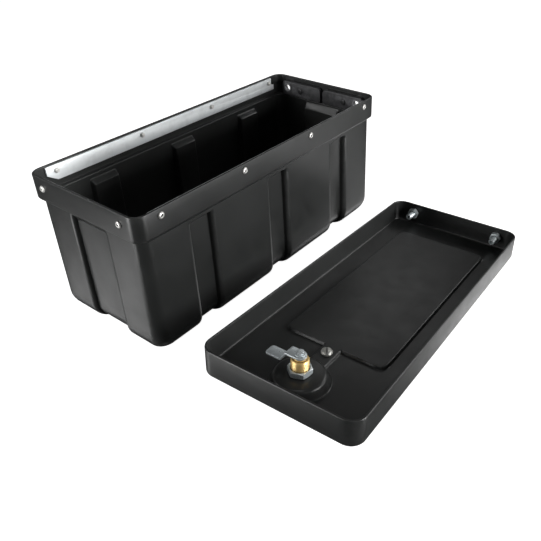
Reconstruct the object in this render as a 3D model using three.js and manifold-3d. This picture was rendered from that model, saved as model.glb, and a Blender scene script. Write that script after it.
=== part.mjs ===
// A moulded plastic battery box for a caravan drawbar: a deep tub and a lift-off shoebox lid.
// The lid lies beside the tub, outer face down, propped on the handle of its lock.
// Millimetres, +Z up, origin under the middle of the tub on the floor it stands on.
// +X runs along the box from the lock end to the stud end, -Y points to the side where the lid lies.

import * as THREE from 'three';
import { mergeVertices } from 'three/addons/utils/BufferGeometryUtils.js';
import Module from 'manifold-3d';

// ---------- driving dimensions ----------

const LENGTH = 520; // outside of the tub's collar, along X
const WIDTH = 219.5; // outside of the tub's collar, along Y
const HEIGHT = 226;
const WALL = 3.5;
const CORNER_RADIUS = 17;
const FLOOR_RADIUS = 31; // between the walls and the underside
const FOOT_CORNER_GAIN = 6; // the corners grow rounder by this much towards the underside
const GAP = 0.3; // clearance between pieces that touch

// the collar is the upper band of the tub, stepped out from the body
const COLLAR_HEIGHT = 35;
const COLLAR_BOTTOM = HEIGHT - COLLAR_HEIGHT;
const COLLAR_STEP = 5.7;
const BEVEL_HEIGHT = 5; // of the slope under the collar, outside
const SHELF_SLOPE = 0.6; // the shelf inside the collar rises and falls this much from its bottom

// upright channels pressed into the walls, with roofs that fall towards the inside
const CHANNEL_TAPER = 2;
const SIDE_CHANNEL = { halfWidth: 19.5, depth: 8.5, top: COLLAR_BOTTOM - 11, fall: 4.5 };
const END_CHANNEL = { halfWidth: 34.4, depth: 6, top: COLLAR_BOTTOM - 6, fall: 10 };
const SIDE_CHANNEL_SPACING = 155;

// lid, measured with its outer face up
const LID_LENGTH = 526.8;
const LID_WIDTH = 226.3;
const LID_HEIGHT = 39;
const LID_WALL = 3;
const LID_EDGE_RADIUS = 4;
const LID_CORNER_RADIUS = CORNER_RADIUS + LID_WALL;

// shallow recess in the outer face, joined by a short tab to the cup for the lock
const PANEL_DEPTH = 4;
const PANEL_START = -135.4;
const PANEL_END = 213;
const PANEL_HALF_WIDTH = 77.4;
const PANEL_RADIUS = 12;
const TAB_HALF_WIDTH = 14;

// the lock stands in a round cup near one end of the lid
const LOCK_X = -208.5;
const CUP_HEIGHT = 17.5;
const CUP_BASE_RADIUS = 38;
const CUP_FLOOR_RADIUS = 34;
const CUP_SHOULDER = 5;
const CUP_DOME = 1.5; // the cup's floor falls off this much from the lock to the shoulder
const CUP_FLAT_RADIUS = 17.5; // its flat middle, under the lock's seal and nut

// studs that hook the lid into the far end of the tub
const STUD_Y = 77.6;
const STUD_DEPTH = 22.5; // below the lid's outer face
const STUD_RADIUS = 5.2;
const STUD_REACH = 24; // inside the lid's end wall
const STUD_NUT_FLATS = 16.5;
const STUD_NUT_THICKNESS = 8;

// slotted screw in the tab
const LID_SCREW_X = -149;

// how the lid lies beside the tub
const LID_REST_X = 2.8;
const LID_REST_Y = -291.2;
const LID_REST_TILT = 0.0765;
const LID_REST_YAW = 0.051;

// ---------- solids: three.js shapes in, manifold joins and cuts, three.js geometry out ----------

const wasm = await Module();
wasm.setup();

function toSolid(geometry) {
  const bare = geometry.clone();
  bare.deleteAttribute('normal');
  bare.deleteAttribute('uv');
  const welded = mergeVertices(bare, 1e-4);
  const vertProperties = new Float32Array(welded.attributes.position.array);
  const triVerts = new Uint32Array(welded.index.array);
  return new wasm.Manifold(new wasm.Mesh({ numProp: 3, vertProperties, triVerts }));
}

function toGeometry(solid) {
  const mesh = solid.getMesh();
  const geometry = new THREE.BufferGeometry();
  geometry.setAttribute('position', new THREE.BufferAttribute(mesh.vertProperties.slice(), 3));
  geometry.setIndex(new THREE.BufferAttribute(mesh.triVerts.slice(), 1));
  geometry.computeVertexNormals();
  return geometry;
}

function cut(geometry, ...tools) {
  let solid = toSolid(geometry);
  for (const tool of tools) {
    solid = solid.subtract(toSolid(tool));
  }
  return toGeometry(solid);
}

function join(...geometries) {
  let solid = toSolid(geometries[0]);
  for (const geometry of geometries.slice(1)) {
    solid = solid.add(toSolid(geometry));
  }
  return toGeometry(solid);
}

// a turned piece: points are [radius, z] from the lower end to the upper end, on the axis or closed
function turned(points, segments = 16) {
  const profile = points.map(([radius, z]) => new THREE.Vector2(radius, z));
  const geometry = new THREE.LatheGeometry(profile, segments);
  return geometry.rotateX(Math.PI / 2);
}

function rod(radius, bottom, top, segments = 16) {
  return turned([[0, bottom], [radius, bottom], [radius, top], [0, top]], segments);
}

function pipe(inner, outer, bottom, top, segments = 20) {
  return turned([[inner, bottom], [outer, bottom], [outer, top], [inner, top], [inner, bottom]], segments);
}

function hexagon(acrossFlats, bottom, top) {
  const circumradius = acrossFlats / Math.sqrt(3);
  return rod(circumradius, bottom, top, 6);
}

function boxBetween(x0, x1, y0, y1, z0, z1) {
  const geometry = new THREE.BoxGeometry(x1 - x0, y1 - y0, z1 - z0);
  return geometry.translate((x0 + x1) / 2, (y0 + y1) / 2, (z0 + z1) / 2);
}

function roundedRectangle(halfLength, halfWidth, radius) {
  const shape = new THREE.Shape();
  const x = halfLength - radius;
  const y = halfWidth - radius;
  shape.absarc(x, y, radius, 0, Math.PI / 2);
  shape.absarc(-x, y, radius, Math.PI / 2, Math.PI);
  shape.absarc(-x, -y, radius, Math.PI, 1.5 * Math.PI);
  shape.absarc(x, -y, radius, 1.5 * Math.PI, 2 * Math.PI);
  shape.closePath();
  return shape;
}

// a rounded block whose sides follow levels of { z, inset, radius }, lowest first
function block(halfLength, halfWidth, levels, cornerSegments = 4) {
  const base = CORNER_RADIUS;
  const shape = roundedRectangle(halfLength, halfWidth, base);
  const steps = levels.length - 1;
  const geometry = new THREE.ExtrudeGeometry(shape, {
    depth: 1, steps, bevelEnabled: false, curveSegments: cornerSegments,
  });
  const position = geometry.attributes.position;
  const place = (value, half, level) => {
    const turn = (Math.abs(value) - (half - base)) / base;
    return Math.sign(value) * (half - level.inset - level.radius + turn * level.radius);
  };
  for (let i = 0; i < position.count; i += 1) {
    const level = levels[Math.round(position.getZ(i) * steps)];
    const x = place(position.getX(i), halfLength, level);
    const y = place(position.getY(i), halfWidth, level);
    position.setXYZ(i, x, y, level.z);
  }
  return geometry;
}

function prism(points, bottom, top) {
  const shape = new THREE.Shape(points.map(([x, y]) => new THREE.Vector2(x, y)));
  const geometry = new THREE.ExtrudeGeometry(shape, { depth: top - bottom, bevelEnabled: false });
  return geometry.translate(0, 0, bottom);
}

// ---------- tub ----------

// levels of the tub's rounded foot, set in from the outside by offset and by the depth of a channel
function footLevels(offset, depth) {
  const arcSteps = 4;
  const arcRadius = FLOOR_RADIUS - offset;
  const levels = [];
  for (let i = 0; i <= arcSteps; i += 1) {
    const angle = (i / arcSteps) * Math.PI / 2;
    const inward = 1 - Math.sin(angle);
    levels.push({
      z: offset + arcRadius * (1 - Math.cos(angle)),
      inset: COLLAR_STEP + offset + depth + arcRadius * inward,
      radius: bodyRadius(offset) + FOOT_CORNER_GAIN * inward,
    });
  }
  return levels;
}

function bodyRadius(offset) {
  return CORNER_RADIUS - offset * 0.7;
}

// a filled block with the tub's outline, set in by offset, between its foot and the given collar levels
function tubBlock(offset, slopeBottom, slopeTop, top) {
  const radius = bodyRadius(offset);
  const levels = [
    ...footLevels(offset, 0),
    { z: slopeBottom, inset: COLLAR_STEP + offset, radius },
    { z: slopeTop, inset: offset, radius },
    { z: top, inset: offset, radius },
  ];
  return toSolid(block(LENGTH / 2, WIDTH / 2, levels));
}

// what stays between the channels of opposite walls: its flanks are the channels' backs and roofs
function channelCore({ depth, top, fall }, offset) {
  const slope = fall / depth;
  const roof = top + offset * (Math.sqrt(1 + slope * slope) - slope);
  const radius = bodyRadius(offset);
  const face = COLLAR_STEP + offset;
  const levels = [
    ...footLevels(offset, depth),
    { z: roof - fall, inset: face + depth, radius },
    { z: roof, inset: face, radius },
    { z: roof + 1, inset: face, radius },
  ];
  return { roof, core: toSolid(block(LENGTH / 2, WIDTH / 2, levels)) };
}

// the plan of one channel, as [distance along the wall, distance inward from the collar]
function channelPlan({ halfWidth, depth }, offset) {
  const face = COLLAR_STEP + offset;
  const outer = halfWidth + offset;
  const inner = outer - CHANNEL_TAPER;
  const deepest = face + depth + FLOOR_RADIUS;
  return [
    [-outer, -5], [outer, -5], [outer, face], [inner, face + depth], [inner, deepest],
    [-inner, deepest], [-inner, face + depth], [-outer, face],
  ];
}

function sideChannels(offset) {
  const { roof, core } = channelCore(SIDE_CHANNEL, offset);
  const prisms = [];
  for (const side of [-1, 1]) {
    for (const step of [-1, 0, 1]) {
      const plan = channelPlan(SIDE_CHANNEL, offset).map(([along, inward]) => [
        side * along + step * SIDE_CHANNEL_SPACING, side * (WIDTH / 2 - inward),
      ]);
      prisms.push(toSolid(prism(plan, -5, roof)));
    }
  }
  return prisms.reduce((all, one) => all.add(one)).subtract(core);
}

function endChannels(offset) {
  const { roof, core } = channelCore(END_CHANNEL, offset);
  const prisms = [-1, 1].map((end) => {
    const plan = channelPlan(END_CHANNEL, offset).map(([along, inward]) => [
      end * (LENGTH / 2 - inward), -end * along,
    ]);
    return toSolid(prism(plan, -5, roof));
  });
  return prisms[0].add(prisms[1]).subtract(core);
}

function channels(offset) {
  return sideChannels(offset).add(endChannels(offset));
}

// the empty tub before its holes are drilled
function tubShell() {
  const outside = tubBlock(0, COLLAR_BOTTOM - BEVEL_HEIGHT, COLLAR_BOTTOM, HEIGHT);
  const inside = tubBlock(WALL, COLLAR_BOTTOM - SHELF_SLOPE, COLLAR_BOTTOM + SHELF_SLOPE, HEIGHT + 5);
  return outside.subtract(channels(0)).subtract(inside.subtract(channels(WALL)));
}

// ---------- fittings on the collar ----------

const COLLAR_INSIDE_X = LENGTH / 2 - WALL;
const COLLAR_INSIDE_Y = WIDTH / 2 - WALL;

const BAR_THICKNESS = 3;
const BAR_TOP = HEIGHT - 2;
const BAR_BOTTOM = HEIGHT - 24.5;
const BAR_HALF_LENGTH = 237;
const BAR_TOE = 6; // the lower half runs on this much at the stud end
const SIDE_RIVET_Z = HEIGHT - 9.7;
const SIDE_RIVET_SPACING = 148;

const PLATE_THICKNESS = 8;
const PLATE_TOP = HEIGHT - 8;
const KEEPER_BOTTOM = HEIGHT - 23;
const STUD_PLATE_BOTTOM = COLLAR_BOTTOM + SHELF_SLOPE + GAP + 0.1;
const PLATE_END_Y = 91;
const PLATE_SPLIT = 2.75; // half the gap between the two stud plates
const PLATE_CHAMFER = 5;
const KEEPER_RIVET_Z = (PLATE_TOP + KEEPER_BOTTOM) / 2;
const KEEPER_RIVET_Y = 78;
const STUD_PLATE_RIVET_Y = 48.5;
const STUD_PLATE_RIVET_Z = HEIGHT - 22;

const LID_CLOSED_TOP = HEIGHT + LID_WALL;
const STUD_HOLE_Z = LID_CLOSED_TOP - STUD_DEPTH;

const RIVET_SHANK = 2.4;
const RIVET_HOLE = 2.6;
const RIVET_HEAD = 4.8;
const RIVET_TAIL = 3.7;

// a blind rivet along +Z: its head is above z = 0 and its tail below z = -grip
function rivet(grip) {
  return turned([
    [0, -grip - 4.2], [2.4, -grip - 4.2], [RIVET_TAIL, -grip - 2.6], [RIVET_TAIL, -grip - GAP],
    [RIVET_SHANK, -grip - GAP], [RIVET_SHANK, GAP], [RIVET_HEAD, GAP], [RIVET_HEAD, 0.9],
    [3.6, 2], [2, 2.6], [1.4, 2.4], [1.2, 1], [0, 1],
  ], 14);
}

function rivetHole(grip) {
  return rod(RIVET_HOLE, -grip - 3, 3, 14);
}

// a plastic rivet through the same hole: a low round head at each end
function plasticRivet(grip) {
  const head = 6;
  const inner = -grip - GAP;
  return turned([
    [0, inner - 1.8], [head * 0.6, inner - 1.5], [head, inner - 0.4], [head, inner],
    [RIVET_SHANK, inner], [RIVET_SHANK, GAP], [head, GAP], [head, 0.7], [head * 0.6, 1.8], [0, 2.1],
  ], 20);
}

// where each rivet's head rests on the outside of the collar, and the way it faces
const SIDE_GRIP = WALL + GAP + BAR_THICKNESS;
const END_GRIP = WALL + GAP + PLATE_THICKNESS;

function sideRivetPlace(side, index) {
  return {
    position: [(index - 1.5) * SIDE_RIVET_SPACING, side * WIDTH / 2, SIDE_RIVET_Z],
    rotation: [-side * Math.PI / 2, 0, 0],
  };
}

function endRivetPlace(end, y, z) {
  return { position: [end * LENGTH / 2, y, z], rotation: [0, end * Math.PI / 2, 0] };
}

function placed(geometry, { position, rotation }) {
  const euler = new THREE.Euler(...rotation, 'XYZ');
  const matrix = new THREE.Matrix4().makeRotationFromEuler(euler).setPosition(...position);
  return geometry.applyMatrix4(matrix);
}

const sideRivets = [];
for (const side of [-1, 1]) {
  for (const index of [0, 1, 2, 3]) {
    const name = `${side < 0 ? 'front' : 'back'}_bar_rivet_${index + 1}`;
    sideRivets.push({ name, place: sideRivetPlace(side, index), grip: SIDE_GRIP });
  }
}
const keeperRivets = [];
const plateRivets = [];
for (const side of [-1, 1]) {
  const name = side < 0 ? 'front' : 'back';
  keeperRivets.push({
    name: `keeper_rivet_${name}`, grip: END_GRIP,
    place: endRivetPlace(-1, side * KEEPER_RIVET_Y, KEEPER_RIVET_Z),
  });
  plateRivets.push({
    name: `stud_plate_rivet_${name}`, grip: END_GRIP,
    place: endRivetPlace(1, side * STUD_PLATE_RIVET_Y, STUD_PLATE_RIVET_Z),
  });
}
const allRivets = [...sideRivets, ...keeperRivets, ...plateRivets];

// seen from the outside: a wide hole that takes the stud's nut, then a narrow one for its eyelet
const NUT_HOLE_RADIUS = 10.2;
const NUT_HOLE_DEPTH = STUD_NUT_THICKNESS + 0.4;
const EYELET_RADIUS = 6.9;
const EYELET_BORE = STUD_RADIUS + 0.5;
const EYELET_FLANGE = 8.2;

function studHole(y) {
  const wide = rod(NUT_HOLE_RADIUS, -NUT_HOLE_DEPTH, 5, 20);
  const narrow = rod(EYELET_RADIUS + GAP, -20, 0, 20);
  return placed(join(wide, narrow), endRivetPlace(1, y, STUD_HOLE_Z));
}

// ring in the inner face of a stud plate that the stud slides through
function studEyelet() {
  const face = -END_GRIP - GAP;
  const top = -NUT_HOLE_DEPTH - GAP;
  return turned([
    [EYELET_BORE, face - 1], [EYELET_FLANGE - 0.5, face - 1], [EYELET_FLANGE, face - 0.5],
    [EYELET_FLANGE, face], [EYELET_RADIUS, face], [EYELET_RADIUS, top], [EYELET_BORE, top],
    [EYELET_BORE, face - 1],
  ], 20);
}

function tub() {
  let solid = tubShell();
  for (const { place, grip } of allRivets) {
    solid = solid.subtract(toSolid(placed(rivetHole(grip), place)));
  }
  for (const side of [-1, 1]) {
    solid = solid.subtract(toSolid(studHole(side * STUD_Y)));
  }
  return toGeometry(solid);
}

// flat bar behind the rim of a long side, with one lower corner cut off and a stepped far end
function bar(side) {
  const toeTop = (BAR_TOP + BAR_BOTTOM) / 2 - 2;
  const outline = [
    [-BAR_HALF_LENGTH, BAR_TOP], [-BAR_HALF_LENGTH, BAR_BOTTOM + 10], [-BAR_HALF_LENGTH + 15, BAR_BOTTOM],
    [BAR_HALF_LENGTH, BAR_BOTTOM], [BAR_HALF_LENGTH, toeTop],
    [BAR_HALF_LENGTH - BAR_TOE, toeTop], [BAR_HALF_LENGTH - BAR_TOE, BAR_TOP],
  ];
  const flat = prism(outline, 0, BAR_THICKNESS);
  flat.rotateX(Math.PI / 2);
  const face = COLLAR_INSIDE_Y - GAP;
  flat.translate(0, side > 0 ? face : -face + BAR_THICKNESS, 0);
  const holes = [0, 1, 2, 3].map((index) => placed(rivetHole(SIDE_GRIP), sideRivetPlace(side, index)));
  return cut(flat, ...holes);
}

// plate on the inside of an end of the collar, with its two upper corners cut off
function endPlate(end, y0, y1, bottom, cuts) {
  const outline = [
    [y0, bottom], [y1, bottom], [y1, PLATE_TOP - PLATE_CHAMFER], [y1 - PLATE_CHAMFER, PLATE_TOP],
    [y0 + PLATE_CHAMFER, PLATE_TOP], [y0, PLATE_TOP - PLATE_CHAMFER],
  ];
  const flat = prism(outline, 0, PLATE_THICKNESS);
  // the outline's x and y become the box's Y and Z, and the thickness its X
  flat.rotateX(Math.PI / 2);
  flat.rotateZ(Math.PI / 2);
  const face = COLLAR_INSIDE_X - GAP;
  flat.translate(end > 0 ? face - PLATE_THICKNESS : -face, 0, 0);
  return cut(flat, ...cuts);
}

function keeperPlate() {
  const holes = keeperRivets.map(({ place, grip }) => placed(rivetHole(grip), place));
  return endPlate(-1, -PLATE_END_Y, PLATE_END_Y, KEEPER_BOTTOM, holes);
}

function studPlate(side) {
  const y0 = side < 0 ? -PLATE_END_Y : PLATE_SPLIT;
  const y1 = side < 0 ? -PLATE_SPLIT : PLATE_END_Y;
  const rivetPlace = endRivetPlace(1, side * STUD_PLATE_RIVET_Y, STUD_PLATE_RIVET_Z);
  const holes = [studHole(side * STUD_Y), placed(rivetHole(END_GRIP), rivetPlace)];
  return endPlate(1, y0, y1, STUD_PLATE_BOTTOM, holes);
}

// ---------- lid, drawn closed: outer face up at z = 0 ----------

const BARREL_RADIUS = 11.5;
const LID_SCREW_HOLE = 2.7;

function roundedPad(x0, x1, halfWidth, radius, bottom, top) {
  const shape = roundedRectangle((x1 - x0) / 2, halfWidth, radius);
  const geometry = new THREE.ExtrudeGeometry(shape, {
    depth: top - bottom, bevelEnabled: false, curveSegments: 4,
  });
  return geometry.translate((x0 + x1) / 2, 0, bottom);
}

// the recessed panel, its tab and the cup for the lock as one tool: the lid's inner face is the same tool,
// deeper by the wall; the outline given above is that of the inner face, so the outer one is smaller
function lidRecesses(offset, above) {
  const bottom = -PANEL_DEPTH - offset;
  const grow = offset - LID_WALL;
  const panel = roundedPad(
    PANEL_START - grow, PANEL_END + grow, PANEL_HALF_WIDTH + grow, PANEL_RADIUS, bottom, above,
  );
  const tab = boxBetween(
    LOCK_X + CUP_FLOOR_RADIUS * 0.6, PANEL_START + PANEL_RADIUS,
    -TAB_HALF_WIDTH - grow, TAB_HALF_WIDTH + grow, bottom, above,
  );
  const floor = -CUP_HEIGHT + LID_WALL - offset;
  const cup = turned([
    [0, floor], [CUP_FLAT_RADIUS, floor], [CUP_FLOOR_RADIUS - CUP_SHOULDER + grow, floor + CUP_DOME],
    [CUP_FLOOR_RADIUS - 1.4 + grow, floor + CUP_DOME + CUP_SHOULDER * 0.3],
    [CUP_FLOOR_RADIUS + 0.3 + grow, floor + CUP_DOME + CUP_SHOULDER * 0.8],
    [CUP_BASE_RADIUS + grow, -LID_WALL], [CUP_BASE_RADIUS + grow, above], [0, above],
  ], 32);
  cup.translate(LOCK_X, 0, 0);
  return toSolid(panel).add(toSolid(tab)).add(toSolid(cup));
}

function lidLevels(offset, bottom) {
  const arcRadius = LID_EDGE_RADIUS - offset * 0.5;
  const radius = LID_CORNER_RADIUS - offset;
  const top = -offset;
  const diagonal = arcRadius * (1 - Math.SQRT1_2);
  return [
    { z: bottom, inset: offset, radius },
    { z: top - arcRadius, inset: offset, radius },
    { z: top - diagonal, inset: offset + diagonal, radius: radius - diagonal },
    { z: top, inset: offset + arcRadius, radius: radius - arcRadius },
  ];
}

function lid() {
  const halfLength = LID_LENGTH / 2;
  const halfWidth = LID_WIDTH / 2;
  const outside = toSolid(block(halfLength, halfWidth, lidLevels(0, -LID_HEIGHT)));
  const hollow = toSolid(block(halfLength, halfWidth, lidLevels(LID_WALL, -LID_HEIGHT - 5)));
  const inside = hollow.subtract(lidRecesses(LID_WALL, 5));
  let solid = outside.subtract(inside).subtract(lidRecesses(0, 5));
  const barrelHole = rod(BARREL_RADIUS + GAP, -30, 5, 24);
  const screwHole = rod(LID_SCREW_HOLE, -30, 5, 14);
  solid = solid.subtract(toSolid(barrelHole.translate(LOCK_X, 0, 0)));
  solid = solid.subtract(toSolid(screwHole.translate(LID_SCREW_X, 0, 0)));
  for (const side of [-1, 1]) {
    const hole = rod(STUD_RADIUS + GAP, -10, 10, 16);
    solid = solid.subtract(toSolid(placed(hole, lidWallPlace(side))));
  }
  return toGeometry(solid);
}

// where a stud passes the outside of the lid's end wall, with +Z pointing out of the box
function lidWallPlace(side) {
  return { position: [LID_LENGTH / 2, side * STUD_Y, -STUD_DEPTH], rotation: [0, Math.PI / 2, 0] };
}

function stud() {
  const end = -LID_WALL - STUD_REACH;
  return turned([
    [0, end + 3.5], [2.6, end + 3.5], [2.8, end], [STUD_RADIUS - 1, end], [STUD_RADIUS, end + 1],
    [STUD_RADIUS, GAP], [9.5, GAP], [9.5, 1.6], [7.5, 3.4], [4, 4.4], [0, 4.6],
  ], 20);
}

function studNut() {
  const top = -LID_WALL - GAP;
  const nut = hexagon(STUD_NUT_FLATS, top - STUD_NUT_THICKNESS, top);
  return cut(nut, rod(STUD_RADIUS + GAP, top - STUD_NUT_THICKNESS - 2, top + 2, 16));
}

function lidScrew() {
  const seat = -PANEL_DEPTH - LID_WALL - GAP;
  const screw = turned([
    [0, seat - 5.2], [3.4, seat - 5], [6.6, seat - 4.2], [7.9, seat - 2], [7.9, seat],
    [2.4, seat], [2.4, -0.6], [0, -0.6],
  ], 20);
  const slotHalfWidth = 1;
  const slot = boxBetween(-10, 10, -slotHalfWidth, slotHalfWidth, seat - 8, seat - 2.8);
  slot.rotateZ(-0.576);
  return cut(screw, slot);
}

function lidScrewNut() {
  return cut(hexagon(8, -PANEL_DEPTH + GAP, -1), rod(2.6, -10, 2, 14));
}

// ---------- lock, drawn on its own axis in the lid's closed frame ----------

const CUP_FLOOR_OUTSIDE = -CUP_HEIGHT + LID_WALL;
const SEAL_THICKNESS = 1.6;
const FLANGE_THICKNESS = 3;
const BORE_RADIUS = 6.4;
const SPINDLE_RADIUS = 6.2;
const BARREL_END = -38.5;
const TONGUE_FACE = -41.2; // the side of the tongue towards the lid
const TONGUE_THICKNESS = 2.8;
const TONGUE_CRANK = 12;
const TONGUE_LENGTH = 47;
const TONGUE_HALF_WIDTH = 8.4;
const HANDLE_TOP = 35.6;
const HANDLE_THICKNESS = 12;
const HANDLE_HALF_SPAN = 33;
const HANDLE_HALF_WIDTH = 6.5;

const FLANGE_BOTTOM = CUP_FLOOR_OUTSIDE + GAP + SEAL_THICKNESS + GAP;

function lockBarrel() {
  const flangeTop = FLANGE_BOTTOM + FLANGE_THICKNESS;
  const flange = 15.5;
  return turned([
    [BORE_RADIUS, BARREL_END], [BARREL_RADIUS - 1, BARREL_END], [BARREL_RADIUS, BARREL_END + 1],
    [BARREL_RADIUS, FLANGE_BOTTOM], [flange, FLANGE_BOTTOM], [flange, flangeTop],
    [BORE_RADIUS, flangeTop], [BORE_RADIUS, BARREL_END],
  ], 24);
}

function lockSeal() {
  const bottom = CUP_FLOOR_OUTSIDE + GAP;
  return pipe(BARREL_RADIUS + GAP, 17, bottom, bottom + SEAL_THICKNESS, 24);
}

function lockNut() {
  const top = -CUP_HEIGHT - GAP;
  const nut = hexagon(28, top - 8, top);
  nut.rotateZ(0.16);
  return cut(nut, rod(BARREL_RADIUS + GAP, top - 10, top + 2, 24));
}

const SPINDLE_TOP = FLANGE_BOTTOM + FLANGE_THICKNESS + GAP + 6;
const SPINDLE_SQUARE = 3.4; // half the side of the square that carries the tongue

function lockSpindle() {
  const body = turned([
    [0, TONGUE_FACE + GAP], [8.2, TONGUE_FACE + GAP], [8.2, BARREL_END - GAP],
    [SPINDLE_RADIUS, BARREL_END - GAP], [SPINDLE_RADIUS, SPINDLE_TOP], [0, SPINDLE_TOP],
  ], 24);
  const square = boxBetween(
    -SPINDLE_SQUARE, SPINDLE_SQUARE, -SPINDLE_SQUARE, SPINDLE_SQUARE,
    TONGUE_FACE - TONGUE_THICKNESS + 0.2, TONGUE_FACE + 1,
  );
  const thread = rod(2.1, -60, TONGUE_FACE + 12, 14);
  return cut(join(body, square), thread);
}

// cranked flat tongue: its eye sits on the spindle and its tip points to -Y
function lockTongue() {
  const face = TONGUE_FACE;
  const back = TONGUE_FACE - TONGUE_THICKNESS;
  const bendStart = 16.5;
  const bendEnd = 24.5;
  // side view as [reach, z], then laid across the width of the tongue
  const outline = [
    [-TONGUE_HALF_WIDTH, face], [-TONGUE_HALF_WIDTH, back], [bendStart, back],
    [bendEnd, back + TONGUE_CRANK], [TONGUE_LENGTH, back + TONGUE_CRANK],
    [TONGUE_LENGTH, face + TONGUE_CRANK], [bendEnd - 1.6, face + TONGUE_CRANK], [bendStart - 1.6, face],
  ];
  const strip = prism(outline, -TONGUE_HALF_WIDTH, TONGUE_HALF_WIDTH);
  // reach becomes -Y, height becomes Z and the width becomes X
  strip.rotateX(Math.PI / 2);
  strip.rotateZ(-Math.PI / 2);
  const plan = new THREE.Shape();
  plan.absarc(0, 0, TONGUE_HALF_WIDTH, 0, Math.PI);
  plan.lineTo(-TONGUE_HALF_WIDTH, -TONGUE_LENGTH + 3);
  plan.lineTo(-TONGUE_HALF_WIDTH + 3, -TONGUE_LENGTH);
  plan.lineTo(TONGUE_HALF_WIDTH - 3, -TONGUE_LENGTH);
  plan.lineTo(TONGUE_HALF_WIDTH, -TONGUE_LENGTH + 3);
  plan.closePath();
  const planPrism = new THREE.ExtrudeGeometry(plan, { depth: 40, bevelEnabled: false, curveSegments: 8 });
  planPrism.translate(0, 0, -60);
  const eye = SPINDLE_SQUARE + 0.15;
  const hole = boxBetween(-eye, eye, -eye, eye, -60, 0);
  return toGeometry(toSolid(strip).intersect(toSolid(planPrism)).subtract(toSolid(hole)));
}

function tongueScrew() {
  const seat = TONGUE_FACE - TONGUE_THICKNESS - GAP;
  const washer = rod(6.6, seat - 1.2, seat, 20);
  const head = hexagon(9, seat - 5, seat - 1);
  const shank = rod(1.95, seat - 1, TONGUE_FACE + 10, 14);
  return join(washer, head, shank);
}

// T-handle: a stem that clamps the spindle's end, and a cross bar along Y
function lockHandle() {
  const stemBottom = FLANGE_BOTTOM + FLANGE_THICKNESS + GAP;
  const barBottom = HANDLE_TOP - HANDLE_THICKNESS;
  const stem = turned([
    [0, stemBottom], [10, stemBottom], [10, stemBottom + 7], [8, stemBottom + 12],
    [8, barBottom + 2], [0, barBottom + 2],
  ], 24);
  const shape = roundedRectangle(HANDLE_HALF_WIDTH, HANDLE_HALF_SPAN, HANDLE_HALF_WIDTH - 0.1);
  const crossBar = new THREE.ExtrudeGeometry(shape, {
    depth: HANDLE_THICKNESS - 3, bevelThickness: 1.5, bevelSize: 1.5, bevelOffset: -1.5, bevelSegments: 2,
    curveSegments: 5,
  });
  crossBar.translate(0, 0, barBottom + 1.5);
  const boss = rod(9, barBottom, HANDLE_TOP - 0.6, 24);
  const socket = rod(SPINDLE_RADIUS + 0.15, stemBottom - 5, SPINDLE_TOP + GAP, 24);
  const plugBore = rod(PLUG_RADIUS + 0.1, PLUG_BOTTOM - GAP, HANDLE_TOP + 5, 20);
  return cut(join(stem, crossBar, boss), socket, plugBore);
}

const PLUG_RADIUS = 5.5;
const PLUG_BOTTOM = HANDLE_TOP - 18;

function keyPlug() {
  const plug = rod(PLUG_RADIUS, PLUG_BOTTOM, HANDLE_TOP - 1, 20);
  const keyway = boxBetween(-0.8, 0.8, -3.6, 3.6, HANDLE_TOP - 12, HANDLE_TOP + 5);
  return cut(plug, keyway);
}

// ---------- materials ----------

function material(color, roughness, metalness) {
  return () => new THREE.MeshStandardMaterial({ color, roughness, metalness });
}

const blackPlastic = material(0x1b1c1d, 0.42, 0);
const blackPlate = material(0x161718, 0.5, 0);
const brightBar = material(0xc3cacc, 0.35, 1);
const rivetMetal = material(0xb9bab8, 0.35, 1);
const zinc = material(0xb4bfc4, 0.38, 1);
const brass = material(0xd9a548, 0.3, 1);
const screwMetal = material(0xa9a7a2, 0.45, 1);
const rubber = material(0x101010, 0.8, 0);
const handleMetal = material(0x8f9496, 0.35, 1);

function piece(name, geometry, makeMaterial) {
  const mesh = new THREE.Mesh(geometry, makeMaterial());
  mesh.name = name;
  return mesh;
}

// ---------- the box ----------

const box = new THREE.Group();

box.add(piece('tub', tub(), blackPlastic));
box.add(piece('front_bar', bar(-1), brightBar));
box.add(piece('back_bar', bar(1), brightBar));
box.add(piece('keeper_plate', keeperPlate(), blackPlate));
box.add(piece('stud_plate_front', studPlate(-1), blackPlate));
box.add(piece('stud_plate_back', studPlate(1), blackPlate));

function fasten(group, mesh, { position, rotation }) {
  mesh.position.set(...position);
  mesh.rotation.set(...rotation);
  group.add(mesh);
}

for (const { name, place, grip } of [...sideRivets, ...keeperRivets]) {
  fasten(box, piece(name, rivet(grip), rivetMetal), place);
}
for (const { name, place, grip } of plateRivets) {
  fasten(box, piece(name, plasticRivet(grip), blackPlate), place);
}

for (const side of [-1, 1]) {
  const name = `stud_eyelet_${side < 0 ? 'front' : 'back'}`;
  fasten(box, piece(name, studEyelet(), rivetMetal), endRivetPlace(1, side * STUD_Y, STUD_HOLE_Z));
}

const lidGroup = new THREE.Group();
lidGroup.add(piece('lid', lid(), blackPlastic));
for (const side of [-1, 1]) {
  const name = side < 0 ? 'front' : 'back';
  fasten(lidGroup, piece(`stud_${name}`, stud(), zinc), lidWallPlace(side));
  fasten(lidGroup, piece(`stud_nut_${name}`, studNut(), zinc), lidWallPlace(side));
}
for (const part of [
  piece('lid_screw', lidScrew(), screwMetal),
  piece('lid_screw_nut', lidScrewNut(), zinc),
]) {
  part.position.x = LID_SCREW_X;
  lidGroup.add(part);
}

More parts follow.
